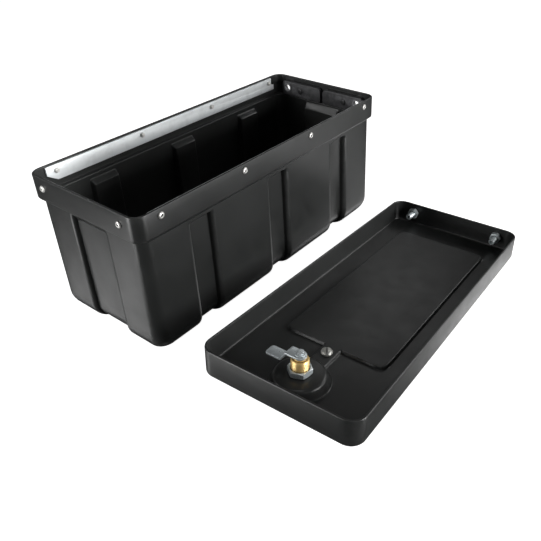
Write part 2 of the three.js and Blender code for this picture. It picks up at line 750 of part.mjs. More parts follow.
const lockGroup = new THREE.Group();
lockGroup.add(piece('lock_barrel', lockBarrel(), brass));
lockGroup.add(piece('lock_seal', lockSeal(), rubber));
lockGroup.add(piece('lock_nut', lockNut(), zinc));
lockGroup.add(piece('lock_spindle', lockSpindle(), brass));
lockGroup.add(piece('lock_tongue', lockTongue(), zinc));
lockGroup.add(piece('tongue_screw', tongueScrew(), zinc));
lockGroup.add(piece('lock_handle', lockHandle(), handleMetal));
lockGroup.add(piece('key_plug', keyPlug(), zinc));
lockGroup.position.x = LOCK_X;
lidGroup.add(lockGroup);

// turned over about X, then tilted so that its stud end touches the floor, then swung a little
lidGroup.rotation.set(Math.PI, LID_REST_TILT, LID_REST_YAW, 'ZYX');
lidGroup.position.set(LID_REST_X, LID_REST_Y, (LID_LENGTH / 2) * Math.sin(LID_REST_TILT));
box.add(lidGroup);

export default box;
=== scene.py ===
# Looks for a moulded plastic battery box: a deep tub, and its lid lying beside it, outer face down.
# Lengths in this script are millimetres. Meshes are made in metres, in the row frame.

import math

import bmesh
import bpy
from mathutils import Euler, Matrix, Vector


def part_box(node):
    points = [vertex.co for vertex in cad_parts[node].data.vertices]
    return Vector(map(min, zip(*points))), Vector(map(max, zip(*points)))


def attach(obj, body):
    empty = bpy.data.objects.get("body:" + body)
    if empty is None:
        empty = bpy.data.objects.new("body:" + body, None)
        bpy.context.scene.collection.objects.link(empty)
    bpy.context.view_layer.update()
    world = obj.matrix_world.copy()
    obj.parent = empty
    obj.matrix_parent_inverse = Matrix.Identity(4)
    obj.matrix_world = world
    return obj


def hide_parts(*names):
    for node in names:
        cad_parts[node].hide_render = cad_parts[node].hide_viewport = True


MM = 0.001

# ---------- driving dimensions ----------

LENGTH = 520.0
WIDTH = 219.5
HEIGHT = 226.0
WALL = 3.5
CORNER_RADIUS = 17.0
FLOOR_RADIUS = 31.0

COLLAR_BOTTOM = HEIGHT - 35.0
COLLAR_STEP = 5.7
BEVEL_HEIGHT = 5.0
SHELF_SLOPE = 0.6

CHANNEL_TAPER = 2.0
SIDE_CHANNEL_SPACING = 155.0
SIDE_CHANNEL = {"half_width": 19.5, "depth": 8.5, "top": COLLAR_BOTTOM - 11, "fall": 4.5}
END_CHANNEL = {"half_width": 34.4, "depth": 6.0, "top": COLLAR_BOTTOM - 6, "fall": 10.0}
# Fillets where a channel's side meets its back and where it meets the wall.
CHANNEL_FILLETS_OUTSIDE = (0.8, 6.8)
CHANNEL_FILLETS_INSIDE = (3.0, 1.2)

LID_LENGTH = 526.8
LID_WIDTH = 226.3
LID_HEIGHT = 39.0
LID_WALL = 3.0
LID_EDGE_RADIUS = 4.0
LID_CORNER_RADIUS = CORNER_RADIUS + LID_WALL
PANEL_DEPTH = 4.0
PANEL_START = -135.4
PANEL_END = 213.0
PANEL_HALF_WIDTH = 77.4
PANEL_RADIUS = 12.0
TAB_HALF_WIDTH = 14.0
LOCK_X = -208.5
CUP_DEPTH = 14.5
CUP_BASE_RADIUS = 38.0
CUP_FLOOR_RADIUS = 34.0
CUP_FLAT_RADIUS = 17.5
CUP_DOME = 1.5
LID_SCREW_X = -149.0
STUD_Y = 77.6
STUD_DEPTH = 22.5

LID_REST_X = 2.8
LID_REST_Y = -291.2
LID_REST_TILT = 0.0765
LID_REST_YAW = 0.051

# ---------- frame ----------

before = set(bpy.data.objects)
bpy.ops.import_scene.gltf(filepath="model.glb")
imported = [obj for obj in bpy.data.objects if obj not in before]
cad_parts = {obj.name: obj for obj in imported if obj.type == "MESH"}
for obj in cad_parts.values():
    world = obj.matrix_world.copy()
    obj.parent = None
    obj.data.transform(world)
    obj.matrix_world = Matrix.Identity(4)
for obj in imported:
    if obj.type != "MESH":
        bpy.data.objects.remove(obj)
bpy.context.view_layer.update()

LID_PLACE = (
    Matrix.Translation((LID_REST_X, LID_REST_Y, LID_LENGTH / 2 * math.sin(LID_REST_TILT)))
    @ Euler((math.pi, LID_REST_TILT, LID_REST_YAW), "XYZ").to_matrix().to_4x4()
)
LOCK_PLACE = LID_PLACE @ Matrix.Translation((LOCK_X, 0, 0))


# ---------- mesh helpers ----------

def rounded(corners, steps=5):
    """A polyline of (x, y, radius) corners with each corner turned into an arc of its radius."""
    points = []
    count = len(corners)
    for i, (x, y, radius) in enumerate(corners):
        corner = Vector((x, y))
        if radius <= 0 or i in (0, count - 1):
            points.append((x, y))
            continue
        back = (Vector(corners[i - 1][:2]) - corner).normalized()
        ahead = (Vector(corners[i + 1][:2]) - corner).normalized()
        points += corner_arc(corner, back, ahead, radius, steps)
    return points


def rounded_loop(corners, steps=5):
    """The same for a closed outline."""
    points = []
    count = len(corners)
    for i, (x, y, radius) in enumerate(corners):
        corner = Vector((x, y))
        if radius <= 0:
            points.append((x, y))
            continue
        back = (Vector(corners[i - 1][:2]) - corner).normalized()
        ahead = (Vector(corners[(i + 1) % count][:2]) - corner).normalized()
        points += corner_arc(corner, back, ahead, radius, steps)
    return points


def corner_arc(corner, back, ahead, radius, steps):
    half = back.angle(ahead) / 2
    if abs(half - math.pi / 2) < 1e-4:
        return [tuple(corner)]
    reach = radius / math.tan(half)
    centre = corner + (back + ahead).normalized() * (radius / math.sin(half))
    start = corner + back * reach - centre
    turn = start.angle_signed(corner + ahead * reach - centre)
    points = []
    for k in range(steps + 1):
        spoke = start.copy()
        spoke.rotate(Matrix.Rotation(-turn * k / steps, 2))
        points.append(tuple(centre + spoke))
    return points


def smoothstep(low, high, value):
    t = min(1.0, max(0.0, (value - low) / (high - low)))
    return t * t * (3 - 2 * t)


def make_piece(name, vertices, faces, place=None, sharp=35):
    """An object from vertices in millimetres, smooth except at edges sharper than that angle."""
    mesh = bpy.data.meshes.new(name)
    mesh.from_pydata([Vector(v) * MM for v in vertices], [], faces)
    if place is not None:
        metres = place.copy()
        metres.translation *= MM
        mesh.transform(metres)
    tidy_mesh(mesh, sharp)
    piece = bpy.data.objects.new(name, mesh)
    bpy.context.scene.collection.objects.link(piece)
    return piece


def tidy_mesh(mesh, sharp):
    shape = bmesh.new()
    shape.from_mesh(mesh)
    bmesh.ops.remove_doubles(shape, verts=shape.verts, dist=1e-6)
    bmesh.ops.recalc_face_normals(shape, faces=shape.faces)
    shape.to_mesh(mesh)
    shape.free()
    mesh.shade_smooth()
    mesh.set_sharp_from_angle(angle=math.radians(sharp))


def ring_faces(rings, size, closed=True):
    """Quads between successive rings of the same number of vertices."""
    faces = []
    for r in range(rings - 1):
        for i in range(size if closed else size - 1):
            j = (i + 1) % size
            faces.append((r * size + i, r * size + j, (r + 1) * size + j, (r + 1) * size + i))
    return faces


def turned(name, profile, place, segments=48, sharp=35):
    """A turned piece: profile is (radius, z) points from one end of the axis to the other.

    A profile whose last point is its first is a closed loop, such as a ring's section."""
    closed = profile[0] == profile[-1]
    points = profile[:-1] if closed else profile
    vertices = []
    for radius, z in points:
        for k in range(segments):
            angle = 2 * math.pi * k / segments
            vertices.append((radius * math.cos(angle), radius * math.sin(angle), z))
    faces = ring_faces(len(points), segments)
    if closed:
        last = (len(points) - 1) * segments
        for k in range(segments):
            j = (k + 1) % segments
            faces.append((last + k, last + j, j, k))
    return make_piece(name, vertices, faces, place, sharp)


def slab(name, outline, thickness, place, bevel=0.4):
    """A flat plate: a closed outline in the place's XY plane, made thick along its Z, with broken edges."""
    count = len(outline)
    vertices = [(x, y, z) for z in (0.0, thickness) for x, y in outline]
    faces = [tuple(range(count)), tuple(range(count, 2 * count))]
    faces += ring_faces(2, count)
    piece = make_piece(name, vertices, faces, place)
    return modified(piece, "BEVEL", width=bevel * MM, segments=3, angle_limit=math.radians(40))


def modified(piece, kind, **settings):
    """Adds one modifier to a piece and applies it."""
    modifier = piece.modifiers.new(kind, kind)
    for key, value in settings.items():
        setattr(modifier, key, value)
    graph = bpy.context.evaluated_depsgraph_get()
    mesh = bpy.data.meshes.new_from_object(piece.evaluated_get(graph))
    piece.modifiers.clear()
    old = piece.data
    piece.data = mesh
    bpy.data.meshes.remove(old)
    mesh.name = piece.name
    tidy_mesh(mesh, 35)
    return piece


def combined(piece, other, operation):
    """Joins a piece with another solid, or cuts that solid out of it, and deletes the other."""
    modified(piece, "BOOLEAN", object=other, operation=operation, solver="EXACT")
    bpy.data.objects.remove(other)
    return piece


def finished(piece, body, slot, material, *nodes):
    """Gives a piece its material and body, and hides the CAD nodes it stands for."""
    piece.data.materials.clear()
    piece.data.materials.append(material)
    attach(piece, body)
    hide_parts(*nodes)
    return piece


def centre_of(node):
    low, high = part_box(node)
    return (low + high) / 2 / MM


# ---------- materials ----------

class Recipe:
    """A small helper that adds nodes to a new material's tree."""

    def __init__(self, name, color, roughness, metallic=0.0, specular=0.5):
        self.material = bpy.data.materials.new(name)
        self.material.use_nodes = True
        self.tree = self.material.node_tree
        self.shader = self.tree.nodes["Principled BSDF"]
        self.shader.inputs["Base Color"].default_value = (*color, 1)
        self.shader.inputs["Roughness"].default_value = roughness
        self.shader.inputs["Metallic"].default_value = metallic
        self.shader.inputs["Specular IOR Level"].default_value = specular
        self.coordinates = self.add("ShaderNodeTexCoord").outputs["Object"]
        self.normal = None

    def add(self, kind, **inputs):
        node = self.tree.nodes.new(kind)
        for key, value in inputs.items():
            node.inputs[key.replace("_", " ")].default_value = value
        return node

    def link(self, output, target):
        self.tree.links.new(output, target)

    def stretched(self, scale):
        """The object's coordinates, scaled differently along each axis."""
        mapping = self.add("ShaderNodeMapping")
        mapping.inputs["Scale"].default_value = scale
        self.link(self.coordinates, mapping.inputs["Vector"])
        return mapping.outputs["Vector"]

    def noise(self, size, detail=3.0, vector=None):
        """Noise whose features are about size millimetres across, from 0 to 1."""
        node = self.add("ShaderNodeTexNoise", Scale=1 / (size * MM), Detail=detail)
        self.link(vector or self.coordinates, node.inputs["Vector"])
        return node.outputs["Fac"]

    def ramp(self, value, low, high, result_low, result_high):
        node = self.add("ShaderNodeMapRange")
        settings = zip(("From Min", "From Max", "To Min", "To Max"), (low, high, result_low, result_high))
        for key, number in settings:
            node.inputs[key].default_value = number
        self.link(value, node.inputs["Value"])
        return node.outputs["Result"]

    def mix_color(self, factor, color):
        """Mixes another colour into the base colour by a factor output."""
        node = self.tree.nodes.new("ShaderNodeMix")
        node.data_type = "RGBA"
        base = self.shader.inputs["Base Color"]
        if base.is_linked:
            self.link(base.links[0].from_socket, node.inputs["A"])
        else:
            node.inputs["A"].default_value = base.default_value
        node.inputs["B"].default_value = (*color, 1)
        self.link(factor, node.inputs["Factor"])
        self.link(node.outputs["Result"], base)

    def bump(self, height, depth, strength=1.0):
        """Bump of that depth in millimetres."""
        node = self.add("ShaderNodeBump", Strength=strength, Distance=depth * MM)
        self.link(height, node.inputs["Height"])
        if self.normal is not None:
            self.link(self.normal, node.inputs["Normal"])
        self.normal = node.outputs["Normal"]
        self.link(self.normal, self.shader.inputs["Normal"])

    def vary_roughness(self, value, low, high):
        self.link(self.ramp(value, 0.3, 0.7, low, high), self.shader.inputs["Roughness"])

    def openness(self, reach):
        """From 0 in a tight corner to 1 on an open face, looking that many millimetres around."""
        node = self.add("ShaderNodeAmbientOcclusion", Distance=reach * MM)
        node.samples = 8
        return node.outputs["AO"]

    def painted_corner_shade(self, reach, color):
        """Painted shade where the surface closes in on itself: darker, and without a shine."""
        opening = self.openness(reach)
        self.mix_color(self.ramp(opening, 0.35, 0.8, 0.9, 0.0), color)
        self.link(self.ramp(opening, 0.35, 0.75, 0.05, 0.5), self.shader.inputs["Specular IOR Level"])

    def painted_edge_highlights(self, color, amount):
        """Painted highlight along the outer edges: a lighter colour where the surface turns convex, broken up
        by noise.
        """
        geometry = self.add("ShaderNodeNewGeometry")
        edge = self.ramp(geometry.outputs["Pointiness"], 0.515, 0.57, 0.0, amount)
        broken = self.tree.nodes.new("ShaderNodeMath")
        broken.operation = "MULTIPLY"
        self.link(edge, broken.inputs[0])
        self.link(self.ramp(self.noise(7), 0.35, 0.65, 0.3, 1.0), broken.inputs[1])
        self.mix_color(broken.outputs[0], color)


def moulded_plastic(name, color, roughness=0.4):
    """Black polypropylene with a fine leathery grain, painted highlights on the outer edges and painted shade
    in the inner corners.
    """
    recipe = Recipe(name, color, roughness)
    lighter = tuple(c * 1.5 + 0.004 for c in color)
    recipe.mix_color(recipe.ramp(recipe.noise(60, 4), 0.4, 0.65, 0.0, 0.3), lighter)
    # painted highlight: lighter lines along convex edges such as rims and panel steps
    recipe.painted_edge_highlights(tuple(c + 0.16 for c in color), 0.8)
    recipe.vary_roughness(recipe.noise(25, 5), roughness - 0.03, roughness + 0.05)
    recipe.bump(recipe.noise(0.9, 4), 0.05, 0.5)
    recipe.bump(recipe.noise(120, 1), 0.3, 0.2)
    # painted shade: darker colour and less shine in inner corners and creases
    recipe.painted_corner_shade(4, tuple(c * 0.3 for c in color))
    return recipe.material


def smooth_sheet(name, color):
    """Cut plastic sheet: smoother than the mouldings, with faint saw marks."""
    recipe = Recipe(name, color, 0.4)
    marks = recipe.noise(0.6, 2, recipe.stretched((1, 0.06, 1)))
    recipe.vary_roughness(recipe.noise(12, 4), 0.38, 0.52)
    recipe.bump(marks, 0.03, 0.5)
    # painted highlight: lighter lines along the sheet's edges
    recipe.painted_edge_highlights((0.2, 0.2, 0.21), 0.8)
    return recipe.material


def drawn_metal(name, color, roughness, along=(0.02, 1, 1), grain=0.35, metallic=1.0):
    """Rolled or drawn metal with a fine grain along one axis."""
    recipe = Recipe(name, color, roughness, metallic)
    lines = recipe.noise(grain, 3, recipe.stretched(along))
    recipe.vary_roughness(lines, roughness - 0.08, roughness + 0.1)
    recipe.bump(lines, 0.02, 0.5)
    recipe.mix_color(recipe.ramp(recipe.noise(14, 4), 0.5, 0.7, 0.0, 0.3), tuple(c * 0.7 for c in color))
    return recipe.material


def turned_metal(name, color, roughness, metallic=0.8):
    """Machined or plated small parts with fine marks, slight tarnish, and painted shade in their hollows and
    corners.
    """
    recipe = Recipe(name, color, roughness, metallic)
    recipe.vary_roughness(recipe.noise(2.5, 4), roughness - 0.08, roughness + 0.1)
    recipe.bump(recipe.noise(0.25, 2), 0.015, 0.5)
    recipe.mix_color(recipe.ramp(recipe.noise(5, 4), 0.48, 0.7, 0.0, 0.35), tuple(c * 0.6 for c in color))
    # painted shade: darker colour and less shine in hollows, threads and corners
    recipe.painted_corner_shade(3, tuple(c * 0.12 for c in color))
    return recipe.material


def soft_rubber(name):
    recipe = Recipe(name, (0.015, 0.015, 0.015), 0.7)
    recipe.bump(recipe.noise(0.5, 3), 0.05, 0.6)
    recipe.vary_roughness(recipe.noise(4, 3), 0.6, 0.8)
    return recipe.material


BLACK_PLASTIC = moulded_plastic("moulded_black", (0.021, 0.022, 0.0215), 0.31)
BLACK_PLATE = smooth_sheet("black_sheet", (0.02, 0.02, 0.021))
BLACK_RIVET = moulded_plastic("black_rivet", (0.022, 0.022, 0.023), 0.35)
BAR_METAL = drawn_metal("bar_aluminium", (0.86, 0.89, 0.9), 0.5, metallic=0.55)
RIVET_METAL = turned_metal("rivet_aluminium", (0.8, 0.79, 0.76), 0.38, 0.65)
EYELET_METAL = turned_metal("eyelet_steel", (0.3, 0.3, 0.31), 0.5, 0.7)
ZINC = turned_metal("bright_zinc", (0.72, 0.78, 0.8), 0.34, 0.6)
BRASS = turned_metal("turned_brass", (0.92, 0.66, 0.28), 0.42, 0.65)
SCREW_METAL = turned_metal("dull_zinc", (0.66, 0.66, 0.62), 0.42, 0.6)
RUBBER = soft_rubber("seal_rubber")
HANDLE_METAL = turned_metal("cast_handle", (0.55, 0.57, 0.58), 0.28)


# ---------- tub ----------

LEVEL_STEP = 12.0
TALL_STRETCH = 60.0
ROOF_LEVEL_STEP = 0.6
ROOF_MARGIN = 9.0

def tub_profile():
    """Levels of the tub's surface from the middle of the underside, round the rim, to the inner floor.

    Each level is (inset from the collar's outside, z, share of the wall's thickness set in)."""
    foot = COLLAR_STEP + FLOOR_RADIUS
    lip = 1.2
    outside = rounded([
        (foot + 30, 0, 0), (COLLAR_STEP, 0, FLOOR_RADIUS),
        (COLLAR_STEP, COLLAR_BOTTOM - BEVEL_HEIGHT, 3), (0, COLLAR_BOTTOM, 3),
        (0, HEIGHT, lip), (WALL / 2, HEIGHT, 0),
    ], 10)
    inside = rounded([
        (WALL / 2, HEIGHT, 0), (WALL, HEIGHT, lip), (WALL, COLLAR_BOTTOM + SHELF_SLOPE, 0.7),
        (COLLAR_STEP + WALL, COLLAR_BOTTOM - SHELF_SLOPE, 1.6),
        (COLLAR_STEP + WALL, WALL, FLOOR_RADIUS - WALL), (foot + 30, WALL, 0),
    ], 10)
    levels = [(inset, z, 0.0) for inset, z in fine_levels(outside)]
    levels += [(inset, z, 1.0) for inset, z in fine_levels(inside)[1:]]
    return levels


def fine_levels(points):
    """Adds levels on long straight stretches, close together where the channels end."""
    result = [points[0]]
    for (x0, z0), (x1, z1) in zip(points, points[1:]):
        count = max(1, math.ceil(abs(z1 - z0) / LEVEL_STEP))
        if abs(z1 - z0) > TALL_STRETCH:
            result += [(x0 + (x1 - x0) * t, z0 + (z1 - z0) * t) for t in channel_end_steps(z0, z1)]
        else:
            result += [(x0 + (x1 - x0) * k / count, z0 + (z1 - z0) * k / count) for k in range(1, count)]
        result.append((x1, z1))
    return result


def channel_end_steps(z0, z1):
    """Shares of the way along a tall wall: a few wide steps, then fine ones around the channels' roofs."""
    low, high = min(z0, z1), max(z0, z1)
    fine_start = SIDE_CHANNEL["top"] - ROOF_MARGIN
    heights = [low + (high - low) * k / 10 for k in range(1, 10)]
    heights = [z for z in heights if z < fine_start]
    fine = [fine_start + ROOF_LEVEL_STEP * k for k in range(30)]
    heights += [z for z in fine if z < high - 0.2]
    shares = [(z - z0) / (z1 - z0) for z in heights]
    return sorted(shares)


def channel_reach(channel, z, share):
    """How deep a channel is at a height: its full depth, less where its roof comes down."""
    slope = channel["fall"] / channel["depth"]
    roof = channel["top"] + share * WALL * (math.sqrt(1 + slope * slope) - slope)
    bend = 1.2
    return channel["depth"] * (1 - ramp_up(roof - channel["fall"] - bend, roof + bend, z))


def ramp_up(low, high, value):
    """0 below low, 1 above high, straight between with rounded ends."""
    t = min(1.0, max(0.0, (value - low) / (high - low)))
    return 0.5 * t + 0.5 * t * t * (3 - 2 * t)


def channel_section(channel, share):
    """(distance from the middle, share of the depth) across half a channel, from its middle outward."""
    outer = channel["half_width"] + share * WALL
    inner = outer - CHANNEL_TAPER
    at_back, at_wall = CHANNEL_FILLETS_INSIDE if share else CHANNEL_FILLETS_OUTSIDE
    points = rounded([
        (0, channel["depth"], 0), (inner, channel["depth"], at_back),
        (outer, 0, at_wall), (outer + 6, 0, 0),
    ], 5)
    return [(distance, depth / channel["depth"]) for distance, depth in points]


def wall_stations(half_length, centres, channel, share):
    """(position along a wall, share of the channel depth) from one corner to the other."""
    stations = [(-half_length, 0.0)]
    for centre in centres:
        section = channel_section(channel, share)
        before = stations[-1][0]
        first = centre - section[-1][0]
        stations += [(before + (first - before) * k / 4, 0.0) for k in range(1, 4)]
        stations += [(centre - distance, depth) for distance, depth in reversed(section)]
        stations += [(centre + distance, depth) for distance, depth in section[1:]]
    last = stations[-1][0]
    stations += [(last + (half_length - last) * k / 4, 0.0) for k in range(1, 5)]
    return stations


def corner_radius_at(inset, share):
    """The plan radius of the tub's corners: wider towards the underside."""
    radius = CORNER_RADIUS - 0.7 * WALL * share
    inward = max(0.0, inset - COLLAR_STEP - WALL * share) / FLOOR_RADIUS
    return radius + 6 * min(1.0, inward)


def tub_ring(inset, z, share):
    """One closed ring of vertices round the tub."""
    radius = corner_radius_at(inset, share)
    flat_x = LENGTH / 2 - inset - radius
    flat_y = WIDTH / 2 - inset - radius
    out_x = LENGTH / 2 - inset
    out_y = WIDTH / 2 - inset
    side_reach = channel_reach(SIDE_CHANNEL, z, share)
    end_reach = channel_reach(END_CHANNEL, z, share)
    side_centres = [k * SIDE_CHANNEL_SPACING for k in (-1, 0, 1)]
    side = wall_stations(flat_x, side_centres, SIDE_CHANNEL, share)
    end = wall_stations(flat_y, [0], END_CHANNEL, share)
    ring = []
    ring += [(s, -out_y + side_reach * d, z) for s, d in side]
    ring += corner_points(flat_x, -flat_y, radius, -90, z)
    ring += [(out_x - end_reach * d, s, z) for s, d in end]
    ring += corner_points(flat_x, flat_y, radius, 0, z)
    ring += [(-s, out_y - side_reach * d, z) for s, d in side]
    ring += corner_points(-flat_x, flat_y, radius, 90, z)
    ring += [(-out_x + end_reach * d, -s, z) for s, d in end]
    ring += corner_points(-flat_x, -flat_y, radius, 180, z)
    return ring


def corner_points(x, y, radius, start, z, steps=10):
    points = []
    for k in range(1, steps):
        angle = math.radians(start + 90 * k / steps)
        points.append((x + radius * math.cos(angle), y + radius * math.sin(angle), z))
    return points


def build_tub():
    rings = [tub_ring(*level) for level in tub_profile()]
    size = len(rings[0])
    vertices = [v for ring in rings for v in ring]
    faces = ring_faces(len(rings), size)
    faces.append(tuple(range(size)))
    faces.append(tuple(range((len(rings) - 1) * size, len(rings) * size)))
    tub = make_piece("tub_moulding", vertices, faces, sharp=50)
    for side in (-1, 1):
        combined(tub, stud_hole_cutter(side), "DIFFERENCE")
    return finished(tub, "tub", "black_plastic", BLACK_PLASTIC, "tub")


# ---------- fittings on the collar ----------

STUD_Z = HEIGHT + LID_WALL - STUD_DEPTH
NUT_HOLE_RADIUS = 10.2
EYELET_RADIUS = 6.9
PLATE_BEVEL = 1.1
RIVET_TAIL_LENGTH = 4.2
RIVET_HEAD_HEIGHT = 2.6


def outward(end, y, z):
    """A place on an end of the collar whose Z points out of the box."""
    turn = Euler((0, end * math.pi / 2, 0)).to_matrix().to_4x4()
    return Matrix.Translation((end * LENGTH / 2, y, z)) @ turn


def stud_hole_cutter(side):
    profile = [(0, -12), (NUT_HOLE_RADIUS, -12), (NUT_HOLE_RADIUS, 5), (0, 5)]
    return turned("stud_hole_cutter", profile, outward(1, side * STUD_Y, STUD_Z))


def build_bar(node):
    """A flat bar along the inside of the collar; its corner at the lock end is cut off."""
    low, high = (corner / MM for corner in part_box(node))
    toe = 6
    middle = (low.z + high.z) / 2 - 2
    outline = rounded_loop([
        (low.x, low.z + 10, 1), (low.x + 15, low.z, 1), (high.x, low.z, 1.5), (high.x, middle, 1),
        (high.x - toe, middle, 1), (high.x - toe, high.z, 1.5), (low.x, high.z, 1.5),
    ], 4)
    place = Matrix.Translation((0, high.y, 0)) @ Euler((math.pi / 2, 0, 0)).to_matrix().to_4x4()
    bar = slab(node + "_strip", outline, high.y - low.y, place, 0.5)
    return finished(bar, "tub", "bar_metal", BAR_METAL, node)


def build_end_plate(node):
    """A black plate inside an end of the collar, with its upper corners cut off."""
    low, high = (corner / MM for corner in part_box(node))
    cut = 5
    outline = rounded_loop([
        (low.y, low.z, 1.5), (high.y, low.z, 1.5), (high.y, high.z - cut, 1),
        (high.y - cut, high.z, 1), (low.y + cut, high.z, 1), (low.y, high.z - cut, 1),
    ], 4)
    turn = Matrix(((0, 0, 1, 0), (1, 0, 0, 0), (0, 1, 0, 0), (0, 0, 0, 1)))
    place = Matrix.Translation((low.x, 0, 0)) @ turn
    plate = slab(node + "_sheet", outline, high.x - low.x, place, PLATE_BEVEL)
    if node.startswith("stud_plate"):
        side = -1 if node.endswith("front") else 1
        cut_stud_hole(plate, side)
    return finished(plate, "tub", "black_plate", BLACK_PLATE, node)


def cut_stud_hole(plate, side):
    """A wide hole for the stud's nut from behind, and a narrow one for its eyelet."""
    step = -8.4
    profile = [
        (0, -20), (EYELET_RADIUS + 0.3, -20), (EYELET_RADIUS + 0.3, step),
        (NUT_HOLE_RADIUS, step), (NUT_HOLE_RADIUS, 5), (0, 5),
    ]
    cutter = turned("stud_hole_cutter", profile, outward(1, side * STUD_Y, STUD_Z))
    combined(plate, cutter, "DIFFERENCE")


def rivet_profile(grip):
    """A blind rivet from the end of its tail to the rim of the hollow in its head."""
    return rounded([
        (0, -grip - 4.0, 0), (1.5, -grip - 4.2, 0.3), (2.5, -grip - 4.2, 0.8), (3.7, -grip - 2.6, 1.2),
        (3.6, -grip - 0.3, 0.4), (2.4, -grip - 0.3, 0), (2.4, 0.3, 0), (4.6, 0.3, 0),
    ], 3) + rounded([
        (4.6, 0.3, 0), (4.8, 0.8, 0.3), (3.9, 2.1, 1.4), (2.3, 2.6, 0.5), (1.75, 2.2, 0.3),
        (1.6, 0.1, 0.1), (0, 0.1, 0),
    ], 3)[1:]


def rivet_place(node):
    """The rivet's place from its CAD box: on the outside of the collar, Z pointing outward."""
    centre = centre_of(node)
    if "bar" in node:
        side = -1 if node.startswith("front") else 1
        turn = Euler((-side * math.pi / 2, 0, 0)).to_matrix().to_4x4()
        return Matrix.Translation((centre.x, side * WIDTH / 2, centre.z)) @ turn
    return outward(math.copysign(1, centre.x), centre.y, centre.z)


def build_rivet(node):
    low, high = (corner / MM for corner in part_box(node))
    grip = max(high - low) - RIVET_TAIL_LENGTH - RIVET_HEAD_HEIGHT
    rivet = turned(node + "_metal", rivet_profile(grip), rivet_place(node), 32)
    return finished(rivet, "tub", "rivet_metal", RIVET_METAL, node)


def build_plastic_rivet(node):
    """A black plastic rivet with a low round head at each end."""
    low, _ = (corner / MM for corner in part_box(node))
    inner = low.x - LENGTH / 2 + 1.8
    head = 6.0
    profile = rounded([
        (0, inner - 1.8, 0), (head * 0.75, inner - 1.7, 3), (head, inner, 0.3), (2.4, inner, 0),
        (2.4, 0.3, 0), (head, 0.3, 0.3), (head * 0.7, 2.2, 3), (0, 2.3, 0),
    ], 6)
    rivet = turned(node + "_plastic", profile, rivet_place(node), 40)
    return finished(rivet, "tub", "black_plate", BLACK_RIVET, node)


def build_eyelet(node, side):
    low, high = (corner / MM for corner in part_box(node))
    face = low.x - LENGTH / 2
    top = high.x - LENGTH / 2
    bore = 5.7
    profile = rounded_loop([
        (bore, face, 0.6), (8.2, face, 0.5), (8.2, face + 1, 0), (EYELET_RADIUS, face + 1, 0),
        (EYELET_RADIUS, top, 0.2), (bore, top, 0.2),
    ], 4)
    eyelet = turned(node + "_ring", profile + profile[:1], outward(1, side * STUD_Y, STUD_Z))
    return finished(eyelet, "tub", "rivet_metal", EYELET_METAL, node)


# ---------- lid, drawn closed, outer face up at z = 0 ----------

def recess_depth(x, y, share):
    """How far the lid's face lies below its flat at a point; share is 0 outside and 1 on the inner face."""
    grow = (share - 1) * LID_WALL
    half_x = (PANEL_END - PANEL_START) / 2 + grow - PANEL_RADIUS
    half_y = PANEL_HALF_WIDTH + grow - PANEL_RADIUS
    dx = abs(x - (PANEL_START + PANEL_END) / 2) - half_x
    dy = abs(y) - half_y
    panel = math.hypot(max(dx, 0), max(dy, 0)) + min(max(dx, dy), 0) - PANEL_RADIUS
    tab = max(abs(y) - TAB_HALF_WIDTH - grow, x - PANEL_START - PANEL_RADIUS, LOCK_X - x)
    flat = PANEL_DEPTH * ramp_in(min(panel, tab), 2.4)
    reach = math.hypot(x - LOCK_X, y) - grow
    return max(flat, cup_depth(reach))


def ramp_in(distance, width):
    """1 well inside a border and 0 outside it, with rounded ends."""
    return 1 - smoothstep(-width, 0.4, distance)


def cup_depth(reach):
    """Depth of the lock's cup at a distance from its middle: a flat and a slope, a shoulder, a steep wall."""
    shoulder = 5.0
    if reach >= CUP_BASE_RADIUS + 1:
        return 0.0
    slope = CUP_DOME * smoothstep(CUP_FLAT_RADIUS - 3, CUP_FLOOR_RADIUS, min(reach, CUP_FLOOR_RADIUS))
    floor = CUP_DEPTH - slope
    if reach <= CUP_FLOOR_RADIUS - shoulder:
        return floor
    if reach <= CUP_FLOOR_RADIUS:
        t = (reach - CUP_FLOOR_RADIUS + shoulder) / shoulder
        return floor - shoulder * (1 - math.sqrt(max(0.0, 1 - t * t * 0.97))) * 0.8
    top = floor - shoulder * (1 - math.sqrt(0.03)) * 0.8
    t = (reach - CUP_FLOOR_RADIUS) / (CUP_BASE_RADIUS + 1 - CUP_FLOOR_RADIUS)
    return top * (1 - t) ** 1.15


def grid_lines(borders, fine, coarse, end):
    """Grid positions from -end to end: fine within the borders given as (low, high), coarse elsewhere."""
    lines = {-end, end}
    for low, high in borders:
        count = round((high - low) / fine)
        lines |= {low + (high - low) * k / count for k in range(count + 1)}
    lines = sorted(line for line in lines if -end <= line <= end)
    result = [lines[0]]
    for line in lines[1:]:
        gap = line - result[-1]
        start = result[-1]
        count = max(1, math.ceil(gap / coarse))
        result += [start + gap * k / count for k in range(1, count + 1)]
    return result


CORNER_STEPS = 8
LID_LINES_X = grid_lines(
    [(LOCK_X - 42, LOCK_X + 44), (PANEL_START - 5, PANEL_START + 6), (PANEL_END - 6, PANEL_END + 4)],
    0.9, 7, LID_LENGTH / 2 - LID_CORNER_RADIUS,
)
LID_LINES_Y = grid_lines(
    [
        (-PANEL_HALF_WIDTH - 3, -PANEL_HALF_WIDTH + 7), (-42, 42),
        (PANEL_HALF_WIDTH - 7, PANEL_HALF_WIDTH + 3),
    ],
    0.9, 7, LID_WIDTH / 2 - LID_CORNER_RADIUS,
)


def with_corners(lines):
    """Adds the corner steps at both ends, as (line, share of the corner from -1 to 1)."""
    shares = [k / CORNER_STEPS for k in range(1, CORNER_STEPS + 1)]
    before = [(lines[0], -share) for share in reversed(shares)]
    after = [(lines[-1], share) for share in shares]
    return before + [(line, 0.0) for line in lines] + after


def lid_point(column, row, radius):
    """A grid point's x and y: where both shares are in a corner, its square becomes a quarter disc."""
    (x, a), (y, b) = column, row
    return (
        x + radius * a * math.sqrt(1 - b * b / 2),
        y + radius * b * math.sqrt(1 - a * a / 2),
    )


